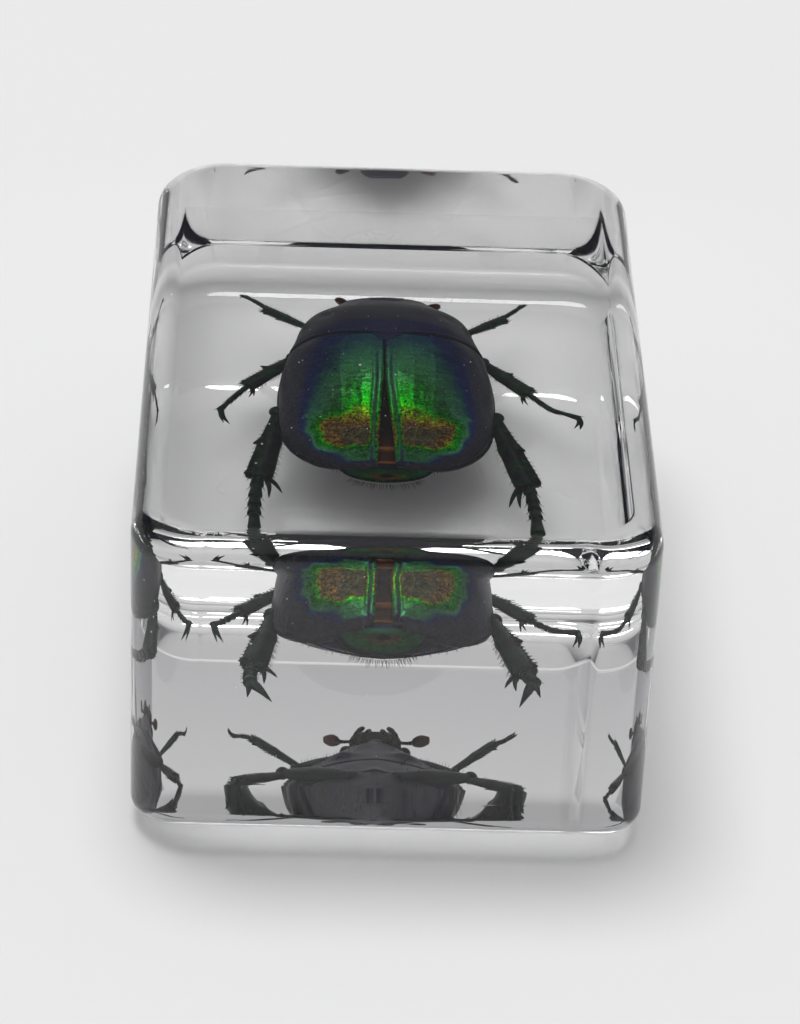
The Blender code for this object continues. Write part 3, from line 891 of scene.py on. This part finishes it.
def tail_ring(off, sides=110):
    """A ring of the bulging end plate, with its middle pit and double rim, off degrees round it."""
    axis = TAIL_PAINTED_SHEEN_WAY.normalized()
    across = Vector((1, 0, 0))
    up = axis.cross(across)
    pit = -0.14 * hump(off, 0.0, 5.5)
    rims = humps(off, (0.10, 63, 5), (-0.10, 71, 3.5), (0.10, 79, 5))
    for angle in turns(sides):
        way = axis * cos(radians(off)) + (across * cos(angle) + up * sin(angle)) * sin(radians(off))
        relief = pit + ramp(-sin(angle), -0.5, 0.2) * rims + 0.02 * unit_noise(way, 4.0, 7.0)
        yield TAIL_PLATE_CENTRE + way * TAIL_PLATE_RADII + way * relief


# The head


def from_head(x, y, z):
    return HEAD_CENTRE + Matrix.Rotation(HEAD_TILT, 3, "X") @ Vector((x, y, z))


def head_ring(y, steps=96):
    """A ring of the head, with the seam behind its spade-like front and the front's upturned rim."""
    half, top, bottom = smooth_row(HEAD_STATIONS, y)
    for angle in turns(steps):
        x, z = superellipse(angle, half, (top - bottom) / 2, 2.5)
        if z > 0:
            z -= 0.06 * hump(y, 0.5 - 0.1 * abs(x), 0.07)
            z += 0.10 * hump(abs(x), half - 0.08, 0.12) * ramp(y, 0.6, 0.9)
        z += 0.012 * unit_noise((x, y, z), 3.0, 8.0)
        yield from_head(x, y, (top + bottom) / 2 + z)


def eyes(made):
    bm = bmesh.new()
    for side in (-1, 1):
        rounded_body(bm, from_head(side * 1.78, 0.05, 0.0), (0.42, 0.52, 0.5), 18, 26, 0.02)
    piece("eyes", bm, made)


def antennae(made):
    """The jointed stalks and their three-leaved clubs."""
    bm = bmesh.new()
    for side, tip in zip((-1, 1), ANTENNA_TIPS):
        root = HEAD_CENTRE + Vector((side * 1.4, 0.5, -0.7))
        elbow = HEAD_CENTRE + Vector((side * 2.05, 0.3, -0.75))
        tip = Vector(tip)
        joints = through([root, elbow, elbow.lerp(tip, 0.3)], 9)
        for i, (a, b) in enumerate(zip(joints, joints[1:])):
            radius = 0.15 if i == 0 else 0.11 + 0.006 * i
            points = [a, a.lerp(b, 0.3), a.lerp(b, 0.75), b]
            tube(bm, points, (radius * 0.6, radius, radius * 1.05, radius * 0.6), 10)
        along = (tip - elbow).normalized()
        beside = along.cross(UP).normalized()
        for leaf in (-1, 0, 1):
            start = elbow.lerp(tip, 0.22) + beside * 0.05 * leaf
            end = tip + beside * 0.13 * leaf - along * 0.06 * abs(leaf)
            points = through([start, start.lerp(end, 0.5) + beside * 0.05 * leaf, end], 10)
            tube(bm, points, swollen(0.36, 10, 0.12, 0.92, 0.35, 0.75, 0.7), 14, 0.3, beside)
    piece("antennae", bm, made)


def mouth(made):
    """The jointed feelers and jaws below the head."""
    bm = bmesh.new()
    for side in (-1, 1):
        for x, reach, z in ((0.95, 1.25, -0.85), (0.45, 1.0, -0.95)):
            joints = (
                from_head(side * x, 0.2, z),
                from_head(side * (x + 0.35), 0.75, z - 0.28),
                from_head(side * (x + 0.15), reach, z - 0.1),
                from_head(side * x * 0.8, reach + 0.42, z + 0.12),
            )
            for start, end, radius in zip(joints, joints[1:], (0.12, 0.13, 0.16)):
                points = through([start, start.lerp(end, 0.5), end], 7)
                tube(bm, points, swollen(radius, 7, 0.15, 0.85, 0.5, 0.6), 12)
        jaw = [from_head(side * x, y, z) for x, y, z in JAW]
        tube(bm, through(jaw, 9), spread(0.3, 0.108, 9), 12, 0.6)
    chin = [from_head(*place) for place in CHIN]
    tube(bm, through(chin, 9), (0.35, 0.6, 0.72, 0.74, 0.7, 0.64, 0.56, 0.45, 0.3), 20, 0.35)
    piece("mouth", bm, made)


# The limbs


class Limb:
    """A limb from the body to the claws; a tooth has its share of the shin before its tip."""

    def __init__(self, name, bulk, thigh, shin, foot, claws, teeth, spurs):
        self.name = name
        self.side = -1 if name.endswith("left") else 1
        self.thick, self.narrow, self.wide, self.thin = bulk
        self.hip, self.knee = map(Vector, thigh)
        self.start, self.end = map(Vector, shin)
        self.route = through(foot, 61)
        self.claws = [Vector(tip) for tip in claws]
        self.teeth = [(share, Vector(tip)) for share, tip in teeth]
        self.spurs = [Vector(tip) for tip in spurs]
        self.along = (self.end - self.start).normalized()
        tooth = self.teeth[0][1] - self.start
        self.outward = (tooth - self.along * tooth.dot(self.along)).normalized()
        self.across = self.along.cross(self.outward).normalized()

    def shin_at(self, share):
        return self.start.lerp(self.end, share)

    def radius(self, share):
        """The shin's half width: narrow at the knee, with two steps, widest at its end."""
        grown = self.narrow * 1.05
        grown += (self.wide * 0.92 - grown) * ramp(share, 0.0, 0.95) ** 0.8
        grown += 0.10 * self.wide * hump(share, self.teeth[0][0] - 0.03, 0.07)
        return grown * (1 - 0.12 * ramp(share, 0.96, 1.0)) * (0.8 + 0.2 * ramp(share, 0.0, 0.08))


LIMBS = (
    Limb(
        "fore_left",
        FORE_BULK,
        ((-1.6, 9.1, 6.3), (-5.1, 10.15, 7.45)),
        ((-4.9, 10.16, 7.4), (-7.7, 12.87, 6.6)),
        ((-7.5, 12.79, 6.65), (-8.2, 13.54, 6.72), (-8.95, 14.09, 6.9)),
        ((-9.35, 14.46, 6.55), (-9.3, 14.26, 6.35)),
        ((0.62, (-7.25, 11.54, 6.75)), (0.9, (-7.95, 12.15, 6.75))),
        ((-7.9, 13.29, 6.35),),
    ),
    Limb(
        "fore_right",
        FORE_BULK,
        ((0.9, 9.1, 6.3), (4.6, 9.88, 7.45)),
        ((4.4, 9.89, 7.4), (7.0, 12.6, 6.4)),
        ((6.8, 12.52, 6.45), (7.55, 13.34, 6.52), (8.1, 14.09, 6.45)),
        ((8.5, 14.37, 6.35), (8.35, 14.32, 6.15)),
        ((0.62, (6.6, 11.32, 6.55)), (0.9, (7.4, 11.94, 6.55))),
        ((7.1, 13.12, 6.15),),
    ),
    Limb(
        "middle_left",
        MIDDLE_BULK,
        ((-1.6, 4.25, 5.5), (-5.9, 7.35, 6.7)),
        ((-5.7, 7.35, 6.8), (-8.65, 4.35, 6.1)),
        ((-8.5, 4.55, 6.1), (-9.55, 2.8, 6.1), (-10.15, 1.6, 6.3)),
        ((-9.54, 0.6, 5.5), (-9.9, 0.8, 5.4)),
        ((0.5, (-8.1, 6.5, 6.5)), (0.92, (-9.1, 5.05, 6.1))),
        ((-8.2, 3.85, 5.3), (-8.5, 3.55, 5.5)),
    ),
    Limb(
        "middle_right",
        MIDDLE_BULK,
        ((0.9, 4.25, 5.5), (5.5, 7.35, 6.7)),
        ((5.3, 7.35, 6.8), (8.25, 4.2, 6.2)),
        ((8.1, 4.35, 6.2), (9.5, 2.6, 6.15), (10.35, 2.15, 6.2), (11.1, 1.65, 6.35)),
        ((11.15, 0.9, 5.6), (10.8, 1.0, 5.6)),
        ((0.5, (7.55, 6.35, 6.5)), (0.92, (8.7, 4.95, 6.3))),
        ((7.85, 3.55, 5.5), (8.15, 3.35, 5.7)),
    ),
    Limb(
        "hind_left",
        HIND_BULK,
        ((-1.4, 0.8, 5.81), (-6.75, 0.8, 7.36)),
        ((-6.6, 0.8, 7.46), (-7.75, -5.65, 6.46)),
        ((-7.75, -5.3, 6.41), (-7.9, -8.3, 6.96), (-7.85, -12.2, 8.06)),
        ((-6.6, -12.85, 7.01), (-8.0, -13.0, 7.36)),
        ((0.5, (-8.35, -2.7, 7.26)), (0.95, (-8.8, -5.4, 6.66))),
        ((-6.35, -6.95, 6.26), (-7.1, -7.3, 5.96)),
    ),
    Limb(
        "hind_right",
        HIND_BULK,
        ((0.7, 0.8, 5.81), (6.1, 0.7, 7.41)),
        ((5.95, 0.7, 7.56), (7.85, -5.95, 6.56)),
        ((7.8, -5.6, 6.51), (8.05, -8.4, 7.16), (8.1, -11.8, 8.36)),
        ((7.35, -12.4, 6.86), (8.5, -12.6, 7.66)),
        ((0.5, (7.95, -3.0, 7.56)), (0.95, (8.75, -5.7, 6.96))),
        ((6.65, -7.9, 6.31), (7.3, -7.8, 6.06)),
    ),
)


def thigh(bm, limb):
    bulk = limb.thick
    points = [limb.hip.lerp(limb.knee, share) for share in spread(0.0, 1.0, 22)]
    radii = swollen(bulk, 22, 0.16, 0.94, 0.42, 0.62, 1.2)
    tube(bm, points, radii, 28, 0.72, shape=lambda angle: 1 + 0.05 * hump(angle, pi, 0.35))
    rounded_body(bm, limb.hip.lerp(limb.knee, 0.08), (bulk * 0.75, bulk * 0.75, bulk * 0.6))
    rounded_body(bm, limb.knee, [limb.narrow * 1.25] * 3)


def keel(angle):
    """The shin's section: a ridge above and below, and a groove on either side of the upper one."""
    ridges = humps(angle, (0.12, pi / 2, 0.28), (0.08, 3 * pi / 2, 0.3))
    return 1 + ridges - humps(angle, (0.07, pi / 2 - 0.75, 0.2), (0.07, pi / 2 + 0.75, 0.2))


def bristle(bm, base, way, lean, length, radius):
    """A short spine that leans one way and bows another."""
    spine(bm, base, base + lean.normalized() * length, radius, way * 0.02, 6, 4)


def shin(bm, limb):
    """The shin with its keel, its outer teeth and combs, end fringe, edge spines and spurs."""
    along = limb.along
    outward = limb.outward
    shares = spread(0.0, 1.0, 34)
    radii = [limb.radius(share) for share in shares]
    tube(bm, [limb.shin_at(share) for share in shares], radii, 36, 0.62, shape=keel)
    size = (limb.wide / 0.9) ** 0.6
    for share, tip in limb.teeth:
        radius = limb.radius(share)
        base = limb.shin_at(share - 0.05) + outward * radius * 0.45
        spine(bm, base, base.lerp(tip, 0.76), limb.wide * 0.46, along * 0.04, 10, 7, 0.8)
        for k in range(5):
            angle = -0.9 + 0.42 * k
            way = outward * cos(angle) + UP * sin(angle) * 0.62
            base = limb.shin_at(share - 0.02) + way * radius * 0.86 + along * 0.05 * k
            bristle(bm, base, way, way * 0.55 + along, (0.30 + 0.04 * (k % 2)) * size, 0.05)
    for k in range(11):
        angle = 2 * pi * k / 11 + 0.2
        way = outward * cos(angle) + limb.across * sin(angle) * 0.62
        base = limb.end + way * radii[-1] * 0.86 - along * 0.06
        bristle(bm, base, way, way * 0.30 + along, 0.26 + 0.07 * ((k * 5) % 3), 0.045)
    for lean in (-0.42, 0.0, 0.42):
        for k in range(13):
            share = 0.24 + 0.73 * k / 12 + 0.02 * lean
            way = (outward + limb.across * lean).normalized()
            base = limb.shin_at(share) + way * limb.radius(share) * 0.82
            length = (0.30 + 0.10 * sin(7 * k + 9 * lean)) * size
            bristle(bm, base, way, way * 0.95 + along * 0.75, length, 0.042)
    for tip in limb.spurs:
        base = limb.shin_at(0.95) - outward * limb.radius(0.95) * 0.5
        bend = (tip - base).normalized().cross(UP) * 0.10 * limb.side
        spine(bm, base, tip, limb.thin * 0.72, bend, 12, 10, 0.62)


def foot(bm, limb):
    """Five joints that widen to their ends, with spines below, and the two claws."""
    radius = limb.thin * 1.25
    shares = spread(0.0, 1.0, 12)
    for low, high in zip(FOOT_JOINTS, FOOT_JOINTS[1:]):
        points = [point_at(limb.route, low + (high - low) * (share * 1.04 - 0.02)) for share in shares]
        if high < 1.0:
            widths = [0.86 + 0.22 * ramp(share, 0.1, 0.9) - 0.24 * ramp(share, 0.94, 1.0) for share in shares]
        else:
            widths = [0.80 + 0.32 * ramp(share, 0.1, 1.0) for share in shares]
        tube(bm, points, [radius * width for width in widths], 14, 0.9)
        along = (points[-1] - points[-2]).normalized()
        across = along.cross(UP).normalized()
        for way in (across, -across, -UP):
            base = points[-2] + way * radius * 0.8
            spine(bm, base, base + (along + way * 0.45).normalized() * (radius * 1.7), 0.035, Vector(), 5, 3)
    ankle = limb.route[-1]
    along = (ankle - limb.route[-4]).normalized()
    heel = ankle - along * 0.05
    for i, tip in enumerate(limb.claws):
        rise = (along * 0.22 + UP * 0.12) * (tip - ankle).length * 0.6
        thick = limb.thin * 1.15 * (0.95 - 0.28 * i)
        radii = [thick * (1 - (k / 12) ** 1.7) + 0.012 for k in range(13)]
        tube(bm, through([heel, heel.lerp(tip, 0.45) + rise, tip], 13), radii, 10, 0.8)


def leg(limb, made):
    bm = bmesh.new()
    thigh(bm, limb)
    shin(bm, limb)
    foot(bm, limb)
    piece("leg_" + limb.name, bm, made)


# Hairs and specks


def hair(bm, base, way, length, radius=0.021):
    """A hair that sags a little."""
    spine(bm, base, base + way.normalized() * length, radius, Vector((0, 0, -0.15 * length)), 3, 4)


def tail_hairs(bm, picked):
    for k in range(TAIL_HAIRS):
        angle = radians(-150 + 120 * k / (TAIL_HAIRS - 1) + picked.uniform(-1, 1))
        x = cos(angle)
        z = sin(angle)
        base = TAIL_PLATE_CENTRE + Vector((x * 2.35, -1.0 + 0.35 * z, z * 1.2))
        way = Vector((x * 0.7 + picked.uniform(-0.25, 0.25), -0.45, -0.75))
        hair(bm, base, way, picked.uniform(0.35, 0.7), 0.024)


def body_hairs(bm, picked):
    """The belly's rows and the breast's scattered hairs."""
    for ring in range(BELLY_RINGS):
        y = BELLY_START - BELLY_RING * (ring + 0.55)
        shape = body_row(y)
        for k in range(BELLY_HAIRS):
            angle = pi * (1.06 + 0.88 * k / (BELLY_HAIRS - 1)) + picked.uniform(-0.02, 0.02)
            x, z = ring_point(shape, angle, 0.4, 0.6, 0.1)
            way = Vector((x * 0.04, -0.85, -0.45))
            hair(bm, Vector((BODY_X + x, y, z)), way, picked.uniform(0.22, 0.4))
    for _ in range(BREAST_HAIRS):
        y = picked.uniform(2.0, 11.3)
        angle = pi * picked.choice((picked.uniform(1.08, 1.4), picked.uniform(1.6, 1.92)))
        x, z = ring_point(body_row(y), angle, 0.4, 0.6, 0.05)
        hair(bm, Vector((BODY_X + x, y, z)), Vector((x * 0.06, -0.5, -0.9)), picked.uniform(0.3, 0.6))


def limb_hairs(bm, limb, picked):
    count = int(26 * limb.wide / 0.62)
    for k in range(count):
        share = 0.12 + 0.84 * k / (count - 1) + picked.uniform(-0.02, 0.02)
        base = limb.shin_at(share) - limb.outward * limb.radius(share) * 0.92
        way = -limb.outward * 0.9 + limb.along * 0.75 + UP * picked.uniform(-0.3, 0.3)
        hair(bm, base, way, picked.uniform(0.25, 0.55) * (limb.wide / 0.9) ** 0.5)
    for share in spread(0.3, 0.9, THIGH_HAIRS):
        base = limb.hip.lerp(limb.knee, share) - UP * limb.thick * 0.6
        way = Vector((picked.uniform(-0.3, 0.3), picked.uniform(-0.6, 0.1), -0.9))
        hair(bm, base, way, picked.uniform(0.25, 0.45))


def hairs(made):
    picked = random.Random(7)
    bm = bmesh.new()
    tail_hairs(bm, picked)
    body_hairs(bm, picked)
    for limb in LIMBS:
        limb_hairs(bm, limb, picked)
    piece("hairs", bm, made)


def specks(made):
    """White specks of dust on the shell and legs and a few loose in the resin."""
    picked = random.Random(11)
    bm = bmesh.new()
    places = list(SHELL_SPECKS)
    for _ in range(SHELL_DUST):
        x = BODY_X + picked.uniform(-5.6, 5.6)
        places.append((x, picked.uniform(-5.0, 10.5), picked.uniform(0.012, 0.024)))
    for x, y, size in places:
        z = dome_height(x - BODY_X, y, 0.97) + size * 0.9
        rounded_body(bm, Vector((x, y, z)), (size, size * 1.2, size * 0.8), 6, 8, 0.35)
    for x, y, z, size in LEG_SPECKS:
        rounded_body(bm, Vector((x, y, z)), (size, size, size * 0.8), 6, 8, 0.35)
    for _ in range(RESIN_DUST):
        place = Vector((picked.uniform(-12, 12), picked.uniform(-19, 19), picked.uniform(3.0, 16.0)))
        if abs(place.x) < 8.2 and -7 < place.y < 14 and place.z < 14.2:
            continue
        rounded_body(bm, place, [picked.uniform(0.012, 0.03)] * 3, 5, 7, 0.4)
    piece("specks", bm, made)


# The block


def rounded_edge(arcs):
    """Inset and drop along an edge of arcs, from the upright side to the flat face."""
    inset = 0.0
    drop = 0.0
    start = 0.0
    pairs = [(inset, drop)]
    for end_degrees, radius, steps in arcs:
        end = radians(end_degrees)
        angles = spread(start, end, steps + 1)
        for before, turn in zip(angles, angles[1:]):
            inset += radius * (cos(before) - cos(turn))
            drop += radius * (sin(turn) - sin(before))
            pairs.append((inset, drop))
        start = end
    return pairs


def outline(front, side, back, steps=18):
    """The block's rounded outline from the (inset, height) of its front, sides and back."""
    ring = []
    for quarter, (side_x, side_y) in enumerate(((1, 1), (-1, 1), (-1, -1), (1, -1))):
        end = back if side_y > 0 else front
        radius = max(CORNER_RADIUS - (side[0] + end[0]) * 0.3, 0.5)
        half_x = BLOCK.x / 2 - side[0] - radius
        half_y = BLOCK.y / 2 - end[0] - radius
        for k in range(steps + 1):
            angle = pi / 2 * (quarter + k / steps)
            x = side_x * half_x + radius * cos(angle)
            y = side_y * half_y + radius * sin(angle)
            ring.append(Vector((x, y, side[1] + (end[1] - side[1]) * sin(angle) ** 2)) * MM)
    return ring


def block_rings():
    """Rings of the block from its flat underside to its flat top."""
    feet = [rounded_edge(arcs) for arcs in (FRONT_FOOT, SIDE_FOOT, BACK_FOOT)]
    rings = []
    for k in range(FOOT_STEPS, -1, -1):
        rings.append(outline(*[(foot[k][0], foot[-1][1] - foot[k][1]) for foot in feet]))
    top = rounded_edge(TOP_EDGE)
    for inset, drop in top:
        row = (inset, BLOCK.z - top[-1][1] + drop)
        rings.append(outline(row, row, row))
    return rings


def smooth_normals(rings):
    """Outward normals of the rings; the first and last rings belong to the flat faces."""
    count = len(rings[0])
    normals = [-UP] * count
    for k in range(1, len(rings) - 1):
        ring = rings[k]
        for i in range(count):
            along = ring[(i + 1) % count] - ring[i - 1]
            normal = along.cross(rings[k + 1][i] - rings[k - 1][i]).normalized()
            if k in (FOOT_STEPS, FOOT_STEPS + 1):
                normal.z = 0
                normal.normalize()
            normals.append(normal)
    return normals + [UP] * count


def block():
    """The whole block in one clear piece, in place of its two pours."""
    rings = block_rings()
    bm = bmesh.new()
    loops = bands(bm, rings)
    bm.faces.new(loops[0][::-1])
    bm.faces.new(loops[-1])
    for face in bm.faces:
        face.smooth = True
    mesh = bpy.data.meshes.new("resin_block")
    bm.to_mesh(mesh)
    bm.free()
    mesh.normals_split_custom_set_from_vertices(smooth_normals(rings))
    mesh.materials.append(resin_material())
    obj = added("resin_block", mesh)
    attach(obj, "root")
    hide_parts("resin_lower", "resin_upper")


# The studio


def camera():
    data = bpy.data.cameras.new("camera")
    data.lens = LENS_MM
    data.shift_x, data.shift_y = FRAME_SHIFT
    data.clip_start = 0.01
    swing = Matrix.Rotation(radians(CAMERA_AZIMUTH), 4, "Z")
    tilt = Matrix.Rotation(radians(90 - CAMERA_ELEVATION), 4, "X")
    roll = Matrix.Rotation(radians(-CAMERA_ROLL), 4, "Z")
    back = Matrix.Translation((0, 0, CAMERA_DISTANCE))
    obj = added("camera", data)
    obj.matrix_world = Matrix.Translation(AIM) @ swing @ tilt @ back @ roll
    bpy.context.scene.camera = obj


def floor():
    """A plain pale floor under the block."""
    signs = ((-1, -1), (1, -1), (1, 1), (-1, 1))
    mesh = bpy.data.meshes.new("floor")
    mesh.from_pydata([(x * FLOOR_HALF, y * FLOOR_HALF, FLOOR_Z) for x, y in signs], [], [(0, 1, 2, 3)])
    mesh.materials.append(new_material("floor").finish({"Base Color": FLOOR_GREY, "Roughness": 0.9}))
    added("floor", mesh)


def world():
    room = bpy.data.worlds.new("studio")
    bpy.context.scene.world = room
    graph = Graph(room, "Background")
    height = graph.part(graph.node("TexCoord", "Generated"), "Z")
    graph.finish({"Color": graph.ramp(height, ROOM_STOPS), "Strength": 1.0})


def soft_light(name, shape, size, area, radiance, place, turn):
    """An even area light that the camera doesn't see."""
    data = bpy.data.lights.new(name, "AREA")
    data.shape = shape
    data.size, data.size_y = size
    data.energy = pi * area * radiance
    obj = added(name, data)
    obj.location = place
    obj.rotation_euler = turn
    obj.visible_camera = False
    return obj


def lights():
    """A wide lamp overhead, which the block's outer faces don't mirror, and a small panel behind
    the block, which its front face shows by way of the underside."""
    size = [2 * LAMP_RADIUS] * 2
    turn = LAMP_PLACE.to_track_quat("Z", "Y").to_euler()
    lamp = soft_light("lamp", "DISK", size, pi * LAMP_RADIUS**2, LAMP_RADIANCE, LAMP_PLACE, turn)
    lamp.visible_glossy = False
    area = PANEL_SIZE[0] * PANEL_SIZE[1]
    turn = (radians(-90), 0.0, 0.0)
    soft_light("back_panel", "RECTANGLE", PANEL_SIZE, area, PANEL_RADIANCE, PANEL_PLACE, turn)


def dress():
    shell = shell_material("shell", SHELL_SHEEN_HUES, 0.32, 1.0, 1.0)
    collar = shell_material("plate", SHELL_SHEEN_HUES, 0.38, 0.35, 0.3)
    wing_case("wing_case_left", -1, shell)
    wing_case("wing_case_right", 1, shell)
    ringed("pronotum", pronotum_ring, 0.0, 1.0, 81, collar, plate_sheen)
    ringed("scutellum", scutellum_ring, 0.0, 1.0, 27, collar, plate_sheen)
    tail = shell_material("tail_plate", TAIL_SHEEN_HUES, 0.34, 0.6, 0.4)
    ringed("tail_plate", tail_ring, TAIL_PLATE_SPAN / 54, TAIL_PLATE_SPAN, 54, tail, tail_sheen)
    under = dark_material("underside", (0.003, 0.003, 0.014), (0.004, 0.005, 0.055), 0.34)
    ringed("breast", breast_ring, 12.1, 0.62, 151, under)
    ringed("belly", belly_ring, BELLY_START, TAIL_Y + 0.28, 221, under)
    ringed("back_plates", back_ring, 0.5, -6.3, 111, back_material(), back_tone)
    ringed("head", head_ring, HEAD_STATIONS[0][0], HEAD_STATIONS[-1][0], 91, collar, plate_sheen)
    eyes(dark_material("eyes", (0.012, 0.010, 0.010), (0.030, 0.018, 0.012), 0.25, 0.2, 9.0))
    antennae(dark_material("antennae", (0.030, 0.010, 0.006), (0.10, 0.028, 0.012), 0.4, 0.1))
    mouth(dark_material("mouth", (0.020, 0.010, 0.008), (0.06, 0.02, 0.012), 0.4, 0.2))
    limb_finish = dark_material("limbs", (0.010, 0.011, 0.013), (0.010, 0.034, 0.015), 0.36)
    for limb in LIMBS:
        leg(limb, limb_finish)
    browns = ((0.3, (0.035, 0.014, 0.008)), (0.7, (0.13, 0.052, 0.022)))
    hairs(small_material("hair", 2.0, browns, 0.35, 0.55, 1.05))
    whites = ((0.35, (0.55, 0.62, 0.66)), (0.65, (0.92, 0.90, 0.86)))
    specks(small_material("specks", 3.0, whites, 0.3, 0.6, 1.5))


def bounces():
    """Enough light paths through the resin, and the photograph's plain tones."""
    cycles = bpy.context.scene.cycles
    cycles.max_bounces = 32
    cycles.glossy_bounces = 24
    cycles.transmission_bounces = 24
    bpy.context.scene.view_settings.view_transform = "Standard"


camera()
floor()
world()
lights()
block()
dress()
bounces()
